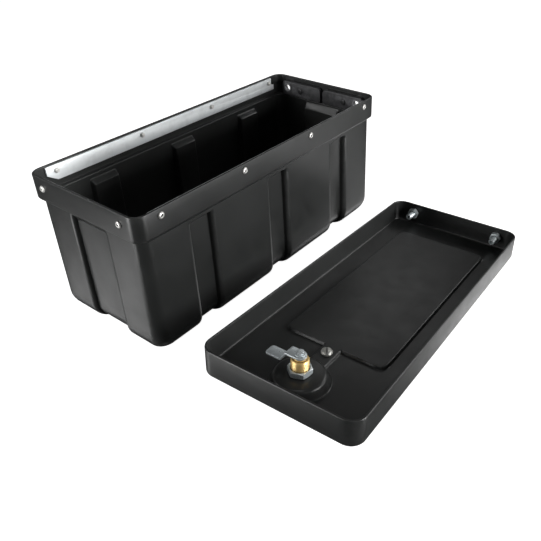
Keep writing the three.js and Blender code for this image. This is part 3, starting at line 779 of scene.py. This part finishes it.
def lid_edge(columns, rows):
    """The grid's border, once round, as (column, row) pairs."""
    first, last = columns[0], columns[-1]
    low, high = rows[0], rows[-1]
    edge = [(column, low) for column in columns]
    edge += [(last, row) for row in rows[1:]]
    edge += [(column, high) for column in reversed(columns[:-1])]
    edge += [(first, row) for row in reversed(rows[1:-1])]
    return edge


def lid_wall_profile():
    """(inset, z) round the lid's wall, from the outer face, over the rim, to the inner face."""
    lip = 1.2
    outside = rounded([
        (LID_EDGE_RADIUS + 0.5, 0, 0), (0, 0, LID_EDGE_RADIUS), (0, -LID_HEIGHT, lip),
        (LID_WALL / 2, -LID_HEIGHT, 0),
    ], 7)
    inside = rounded([
        (LID_WALL / 2, -LID_HEIGHT, 0), (LID_WALL, -LID_HEIGHT, lip), (LID_WALL, -LID_WALL, 2.5),
        (LID_WALL + 3, -LID_WALL, 0),
    ], 7)
    return outside + inside[1:]


def build_lid():
    columns = with_corners(LID_LINES_X)
    rows = with_corners(LID_LINES_Y)
    vertices = []
    index = {}
    faces = []
    profile = lid_wall_profile()
    for share, (inset, _) in ((0.0, profile[0]), (1.0, profile[-1])):
        radius = LID_CORNER_RADIUS - inset
        for i, column in enumerate(columns):
            for j, row in enumerate(rows):
                x, y = lid_point(column, row, radius)
                index[share, column, row] = len(vertices)
                vertices.append((x, y, -share * LID_WALL - recess_depth(x, y, share)))
        for c0, c1 in zip(columns, columns[1:]):
            for r0, r1 in zip(rows, rows[1:]):
                corners = ((c0, r0), (c1, r0), (c1, r1), (c0, r1))
                faces.append(tuple(index[share, c, r] for c, r in corners))
    edge = lid_edge(columns, rows)
    previous = [index[0.0, c, r] for c, r in edge]
    for inset, z in profile[1:-1]:
        ring = []
        for column, row in edge:
            x, y = lid_point(column, row, LID_CORNER_RADIUS - inset)
            ring.append(len(vertices))
            vertices.append((x, y, z))
        faces += bridge(previous, ring)
        previous = ring
    faces += bridge(previous, [index[1.0, c, r] for c, r in edge])
    lid = make_piece("lid_moulding", vertices, faces, LID_PLACE, sharp=50)
    return finished(lid, "lid", "black_plastic", BLACK_PLASTIC, "lid")


def bridge(first, second):
    count = len(first)
    return [(first[i], first[(i + 1) % count], second[(i + 1) % count], second[i]) for i in range(count)]


# ---------- fasteners on the lid ----------

def hex_nut(name, flats, bottom, top, bore, place, turn=0.0, steps=16):
    """A hexagon nut with chamfered corners and a round bore, or a solid hexagon where bore is 0."""
    count = 6 * steps
    washer = flats / 2 * 0.97
    rings = []
    heights = ((top, 1), (bottom, -1))
    outline = []
    for k in range(count):
        angle = 2 * math.pi * k / count
        within = (angle % (math.pi / 3)) - math.pi / 6
        outline.append((angle + turn, flats / 2 / math.cos(within)))
    for z, way in heights:
        flat = [(washer * math.cos(a), washer * math.sin(a), z) for a, _ in outline]
        side = [(r * math.cos(a), r * math.sin(a), z - way * (r - washer) * 0.55) for a, r in outline]
        lip = [((bore + 0.7) * math.cos(a), (bore + 0.7) * math.sin(a), z) for a, _ in outline]
        inner = [(bore * math.cos(a), bore * math.sin(a), z - way * 0.7) for a, _ in outline]
        rings += [inner, lip, flat, side] if way > 0 else [side, flat, lip, inner]
    vertices = [v for ring in rings for v in ring]
    faces = ring_faces(len(rings), count)
    last = (len(rings) - 1) * count
    faces += [(last + k, last + (k + 1) % count, (k + 1) % count, k) for k in range(count)]
    return make_piece(name, vertices, faces, place, sharp=30)


def threaded(radius, low, high, pitch, depth):
    """(radius, z) points of a thread's ridges along a shank, from low to high."""
    points = []
    count = max(1, round((high - low) / pitch))
    for k in range(count):
        z = low + (high - low) * k / count
        points += [(radius - depth, z), (radius, z + (high - low) / count / 2)]
    points.append((radius - depth, high))
    return points


def build_stud(side):
    """A stud through the lid's end wall, hollow at its inner end, with its head outside and a nut inside."""
    suffix = "front" if side < 0 else "back"
    turn = Euler((0, math.pi / 2, 0)).to_matrix().to_4x4()
    place = LID_PLACE @ Matrix.Translation((LID_LENGTH / 2, side * STUD_Y, -STUD_DEPTH)) @ turn
    end = -LID_WALL - 24.0
    profile = [(0, end + 4), (2.3, end + 4), (2.7, end + 0.8), (3.1, end), (4.2, end)]
    profile += threaded(5.2, end + 1.2, -1, 1.5, 0.35)
    profile += [(4.85, 0.3)] + rounded([
        (4.85, 0.3, 0), (9.3, 0.3, 0.3), (9.4, 1.4, 0.8), (7.4, 3.4, 2), (4, 4.4, 3), (0, 4.6, 0),
    ], 4)[1:]
    stud = turned(f"stud_{suffix}_threaded", profile, place, 40, sharp=30)
    finished(stud, "lid", "zinc", ZINC, f"stud_{suffix}")
    top = -LID_WALL - 0.3
    nut = hex_nut(f"stud_nut_{suffix}_hexagon", 16.5, top - 8, top, 5.3, place, 0.3)
    finished(nut, "lid", "zinc", ZINC, f"stud_nut_{suffix}")


def build_lid_screw():
    place = LID_PLACE @ Matrix.Translation((LID_SCREW_X, 0, 0))
    seat = -PANEL_DEPTH - LID_WALL - 0.3
    profile = rounded([
        (0, seat - 5.2, 0), (3.0, seat - 5.1, 5), (6.6, seat - 4.2, 1.5), (7.9, seat - 2.0, 1.0),
        (7.9, seat, 0.2), (2.3, seat, 0), (2.3, -0.7, 0), (0, -0.7, 0),
    ], 6)
    screw = turned("lid_screw_slotted", profile, place, 48)
    slot_turn = Matrix.Rotation(-0.576, 4, "Z")
    slot_place = place @ Matrix.Translation((0, 0, seat - 8)) @ slot_turn
    blade = slab("slot_cutter", [(-10, -1.2), (10, -1.2), (10, 1.2), (-10, 1.2)], 5.6, slot_place, 0.05)
    combined(screw, blade, "DIFFERENCE")
    finished(screw, "lid", "screw_metal", SCREW_METAL, "lid_screw")
    nut = hex_nut("lid_screw_nut_hexagon", 8, -PANEL_DEPTH + 0.3, -1, 2.5, place)
    finished(nut, "lid", "zinc", ZINC, "lid_screw_nut")


# ---------- lock ----------

CUP_FLOOR = -CUP_DEPTH
INNER_CUP = CUP_FLOOR - LID_WALL
FLANGE = CUP_FLOOR + 2.2
BARREL_RADIUS = 11.5
BARREL_END = -38.5
TONGUE_FACE = -41.2
TONGUE_THICKNESS = 2.8
TONGUE_CRANK = 12.0
TONGUE_LENGTH = 47.0
TONGUE_HALF_WIDTH = 8.4
HANDLE_TOP = 35.6


def build_lock_barrel():
    profile = [(6.4, BARREL_END + 0.6), (7.0, BARREL_END), (BARREL_RADIUS - 1.1, BARREL_END)]
    profile += threaded(BARREL_RADIUS, BARREL_END + 0.9, FLANGE, 1.5, 0.4)
    profile += rounded([
        (BARREL_RADIUS, FLANGE, 0), (15.5, FLANGE, 0.4), (15.5, FLANGE + 3, 1.2), (6.4, FLANGE + 3, 0),
    ], 4)
    profile.append(profile[0])
    barrel = turned("lock_barrel_threaded", profile, LOCK_PLACE, 64, sharp=28)
    finished(barrel, "lid", "brass", BRASS, "lock_barrel")
    seal = rounded_loop([
        (BARREL_RADIUS + 0.3, CUP_FLOOR + 0.3, 0.4), (17, CUP_FLOOR + 0.3, 0.7),
        (17, CUP_FLOOR + 1.9, 0.7), (BARREL_RADIUS + 0.3, CUP_FLOOR + 1.9, 0.4),
    ], 4)
    ring = turned("lock_seal_ring", seal + seal[:1], LOCK_PLACE, 64)
    finished(ring, "lid", "rubber", RUBBER, "lock_seal")
    top = INNER_CUP - 0.3
    nut = hex_nut("lock_nut_hexagon", 28, top - 8, top, BARREL_RADIUS + 0.2, LOCK_PLACE, 0.16, 20)
    finished(nut, "lid", "zinc", ZINC, "lock_nut")


def build_spindle():
    top = FLANGE + 3 + 6
    profile = rounded([
        (0, TONGUE_FACE + 0.3, 0), (8.2, TONGUE_FACE + 0.3, 0.5), (8.2, BARREL_END - 0.3, 0.4),
        (6.2, BARREL_END - 0.3, 0), (6.2, top, 0.5), (0, top, 0),
    ], 4)
    spindle = turned("lock_spindle_turned", profile, LOCK_PLACE, 48)
    return finished(spindle, "lock", "brass", BRASS, "lock_spindle")


def build_tongue():
    """A cranked flat tongue with a round eye: rounded-edge sections along its bent middle line."""
    middle = TONGUE_FACE - TONGUE_THICKNESS / 2
    path = rounded([
        (-TONGUE_HALF_WIDTH, middle, 0), (16.5, middle, 3.2), (24, middle + TONGUE_CRANK, 3.2),
        (TONGUE_LENGTH, middle + TONGUE_CRANK, 0),
    ], 7)
    path = subdivided(path, 0.8)
    vertices = []
    for k, (reach, z) in enumerate(path):
        before, after = path[max(0, k - 1)], path[min(len(path) - 1, k + 1)]
        along = Vector((after[0] - before[0], after[1] - before[1])).normalized()
        normal = Vector((-along.y, along.x))
        half = tongue_half_width(reach)
        for across, lift in section_outline(half, TONGUE_THICKNESS / 2, 0.5):
            point = Vector((reach, z)) + normal * lift
            vertices.append((across, -point.x, point.y))
    size = len(section_outline(5, 1, 0.5))
    faces = ring_faces(len(path), size)
    faces += [tuple(range(size)), tuple(range((len(path) - 1) * size, len(path) * size))]
    tongue = make_piece("lock_tongue_plate", vertices, faces, LOCK_PLACE, sharp=40)
    return finished(tongue, "lock", "zinc", ZINC, "lock_tongue")


def subdivided(points, step):
    result = [points[0]]
    for (x0, y0), (x1, y1) in zip(points, points[1:]):
        count = max(1, math.ceil(math.hypot(x1 - x0, y1 - y0) / step))
        result += [(x0 + (x1 - x0) * k / count, y0 + (y1 - y0) * k / count) for k in range(1, count + 1)]
    return result


def tongue_half_width(reach):
    """Half the tongue's width: a round eye at one end and a tip with rounded corners at the other."""
    if reach < 0:
        return math.sqrt(max(0.6, TONGUE_HALF_WIDTH ** 2 - reach * reach))
    corner = 3.5
    past = reach - (TONGUE_LENGTH - corner)
    if past > 0:
        return TONGUE_HALF_WIDTH - corner + math.sqrt(max(0.0, corner * corner - past * past))
    return TONGUE_HALF_WIDTH


def section_outline(half_width, half_height, radius):
    radius = min(radius, half_width * 0.9)
    return rounded_loop([
        (-half_width, -half_height, radius), (half_width, -half_height, radius),
        (half_width, half_height, radius), (-half_width, half_height, radius),
    ], 3)


def build_tongue_screw():
    seat = TONGUE_FACE - TONGUE_THICKNESS - 0.3
    washer = rounded([
        (0, seat, 0), (6.6, seat, 0.3), (6.6, seat - 1.2, 0.4), (0, seat - 1.2, 0),
    ], 4)
    screw = turned("tongue_screw_washer", washer, LOCK_PLACE, 40)
    head = hex_nut("tongue_screw_head", 9, seat - 5, seat - 1, 0.4, LOCK_PLACE, 0.4)
    combined(screw, head, "UNION")
    return finished(screw, "lock", "zinc", ZINC, "tongue_screw")


def build_handle():
    """The T-handle: a turned stem and a cross bar with rounded ends."""
    bottom = FLANGE + 3.3
    bar_bottom = HANDLE_TOP - 12
    stem = rounded([
        (0, bottom, 0), (10, bottom, 0.8), (10, bottom + 7, 1.5), (8, bottom + 12, 3),
        (8, bar_bottom + 3, 0), (0, bar_bottom + 3, 0),
    ], 5)
    handle = turned("lock_handle_cast", stem, LOCK_PLACE, 48)
    outline = rounded_loop([(-6.5, -33, 6.4), (6.5, -33, 6.4), (6.5, 33, 6.4), (-6.5, 33, 6.4)], 10)
    place = LOCK_PLACE @ Matrix.Translation((0, 0, bar_bottom))
    bar = slab("handle_bar", outline, 12, place, 2.6)
    boss_top = HANDLE_TOP - 0.6
    boss = rounded([(0, bar_bottom, 0), (9, bar_bottom, 1.2), (9, boss_top, 1), (0, boss_top, 0)], 4)
    combined(handle, bar, "UNION")
    combined(handle, turned("handle_boss", boss, LOCK_PLACE, 48), "UNION")
    bore = [(0, HANDLE_TOP - 18.3), (5.6, HANDLE_TOP - 18.3), (5.6, HANDLE_TOP + 4), (0, HANDLE_TOP + 4)]
    combined(handle, turned("plug_bore", bore, LOCK_PLACE, 48), "DIFFERENCE")
    return finished(handle, "lock", "handle_metal", HANDLE_METAL, "lock_handle")


def build_key_plug():
    top = HANDLE_TOP - 1
    bottom = HANDLE_TOP - 18
    profile = rounded([(0, bottom, 0), (5.45, bottom, 0.3), (5.45, top, 0.5), (0, top, 0)], 4)
    plug = turned("key_plug_turned", profile, LOCK_PLACE, 48)
    place = LOCK_PLACE @ Matrix.Translation((0, 0, HANDLE_TOP - 12))
    keyway = slab("keyway_cutter", [(-0.8, -3.6), (0.8, -3.6), (0.8, 3.6), (-0.8, 3.6)], 20, place, 0.05)
    combined(plug, keyway, "DIFFERENCE")
    return finished(plug, "key", "brass", BRASS, "key_plug")


# ---------- studio ----------

def studio_white(name):
    """A floor that the camera sees as white, and that reflects the softboxes like polished acrylic."""
    material = bpy.data.materials.new(name)
    material.use_nodes = True
    tree = material.node_tree
    shader = tree.nodes["Principled BSDF"]
    shader.inputs["Base Color"].default_value = (0.8, 0.8, 0.8, 1)
    shader.inputs["Roughness"].default_value = 0.9
    shader.inputs["Specular IOR Level"].default_value = 0.0
    shader.inputs["Emission Color"].default_value = (1, 1, 1, 1)
    shader.inputs["Emission Strength"].default_value = 1.0
    acrylic = tree.nodes.new("ShaderNodeBsdfGlossy")
    acrylic.inputs["Color"].default_value = (0.55, 0.55, 0.55, 1)
    acrylic.inputs["Roughness"].default_value = 0.2
    path = tree.nodes.new("ShaderNodeLightPath")
    choice = tree.nodes.new("ShaderNodeMixShader")
    tree.links.new(path.outputs["Is Camera Ray"], choice.inputs["Fac"])
    tree.links.new(acrylic.outputs["BSDF"], choice.inputs[1])
    tree.links.new(shader.outputs["BSDF"], choice.inputs[2])
    tree.links.new(choice.outputs["Shader"], tree.nodes["Material Output"].inputs["Surface"])
    return material


def build_floor():
    half = 6000
    corners = [(-half, -half, 0), (half, -half, 0), (half, half, 0), (-half, half, 0)]
    floor = make_piece("studio_floor", corners, [(0, 1, 2, 3)])
    floor.location.z = -0.0005
    floor.data.materials.append(studio_white("studio_floor"))


SOFTBOX_RANGE = 1.9
LOW_LIGHT = 0.45
HIGH_LIGHT = 1.3
SUBJECT = Vector((0, -0.15, 0.1))


def softbox(name, azimuth, height, power, reach=SOFTBOX_RANGE):
    """A soft light turned to the subject: azimuth in degrees from +X, height and reach in metres."""
    lamp = bpy.data.lights.new(name, "AREA")
    lamp.shape = "RECTANGLE"
    lamp.size = 0.8
    lamp.size_y = 0.7
    lamp.energy = power
    light = bpy.data.objects.new(name, lamp)
    turn = math.radians(azimuth)
    light.location = (reach * math.cos(turn), reach * math.sin(turn), height)
    light.rotation_euler = (SUBJECT - light.location).to_track_quat("-Z", "Y").to_euler()
    bpy.context.scene.collection.objects.link(light)


def spotlight(name, place, target, power, cone):
    """A narrow soft-edged beam; places in metres, cone in degrees."""
    lamp = bpy.data.lights.new(name, "SPOT")
    lamp.energy = power
    lamp.spot_size = math.radians(cone)
    lamp.spot_blend = 1.0
    lamp.shadow_soft_size = 0.05
    light = bpy.data.objects.new(name, lamp)
    light.location = place
    light.rotation_euler = (Vector(target) - Vector(place)).to_track_quat("-Z", "Y").to_euler()
    bpy.context.scene.collection.objects.link(light)


def studio_air(name):
    """A dim world that the camera sees as white."""
    world = bpy.data.worlds.new(name)
    world.use_nodes = True
    tree = world.node_tree
    dim = tree.nodes["Background"]
    dim.inputs["Color"].default_value = (0.75, 0.78, 0.8, 1)
    dim.inputs["Strength"].default_value = 0.02
    white = tree.nodes.new("ShaderNodeBackground")
    white.inputs["Color"].default_value = (1, 1, 1, 1)
    path = tree.nodes.new("ShaderNodeLightPath")
    choice = tree.nodes.new("ShaderNodeMixShader")
    tree.links.new(path.outputs["Is Camera Ray"], choice.inputs["Fac"])
    tree.links.new(dim.outputs["Background"], choice.inputs[1])
    tree.links.new(white.outputs["Background"], choice.inputs[2])
    tree.links.new(choice.outputs["Shader"], tree.nodes["World Output"].inputs["Surface"])
    return world


def build_lights():
    bpy.context.scene.world = studio_air("studio_air")
    bpy.context.scene.view_settings.view_transform = "Standard"
    softbox("front_low_softbox", 280, LOW_LIGHT, 26)
    softbox("left_low_softbox", 160, LOW_LIGHT, 21)
    softbox("right_low_softbox", 310, LOW_LIGHT, 6)
    softbox("right_high_softbox", 340, HIGH_LIGHT, 6.6)
    softbox("back_high_softbox", 130, HIGH_LIGHT, 6.3)
    softbox("far_high_softbox", 20, HIGH_LIGHT, 1.3)
    softbox("overhead_softbox", 270, 2.4, 3, reach=0.2)
    spotlight("bar_spot", (-0.3, -1.1, 0.9), (-0.27, 0.1, 0.215), 120, 8)


def build_camera():
    """The viewing position, with the lens shifted so that the picture's frame is off its optical axis.

    The fit is vertical, so the sensor's width leaves this picture as it is."""
    place = Vector((-623.9, -654.3, 592.8)) * MM
    right = Vector((0.58623, -0.81013, -0.00477))
    up = Vector((0.42977, 0.306, 0.84951))
    camera = bpy.data.cameras.new("camera")
    camera.sensor_fit = "VERTICAL"
    camera.sensor_height = 36
    camera.sensor_width = 29
    camera.lens = 41.36
    camera.shift_x = -0.1105
    camera.shift_y = -0.0724
    camera.clip_start = 0.01
    camera.clip_end = 50
    eye = bpy.data.objects.new("camera", camera)
    back = right.cross(up)
    turn = Matrix((right, up, back)).transposed().to_4x4()
    eye.matrix_world = Matrix.Translation(place) @ turn
    bpy.context.scene.collection.objects.link(eye)
    bpy.context.scene.camera = eye


# ---------- the picture ----------

build_tub()
for bar_node in ("front_bar", "back_bar"):
    build_bar(bar_node)
for plate_node in ("keeper_plate", "stud_plate_front", "stud_plate_back"):
    build_end_plate(plate_node)
for rivet_node in sorted(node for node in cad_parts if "rivet" in node):
    if rivet_node.startswith("stud_plate"):
        build_plastic_rivet(rivet_node)
    else:
        build_rivet(rivet_node)
for stud_side in (-1, 1):
    build_eyelet("stud_eyelet_front" if stud_side < 0 else "stud_eyelet_back", stud_side)
    build_stud(stud_side)
build_lid()
build_lid_screw()
build_lock_barrel()
build_spindle()
build_tongue()
build_tongue_screw()
build_handle()
build_key_plug()
build_floor()
build_lights()
build_camera()
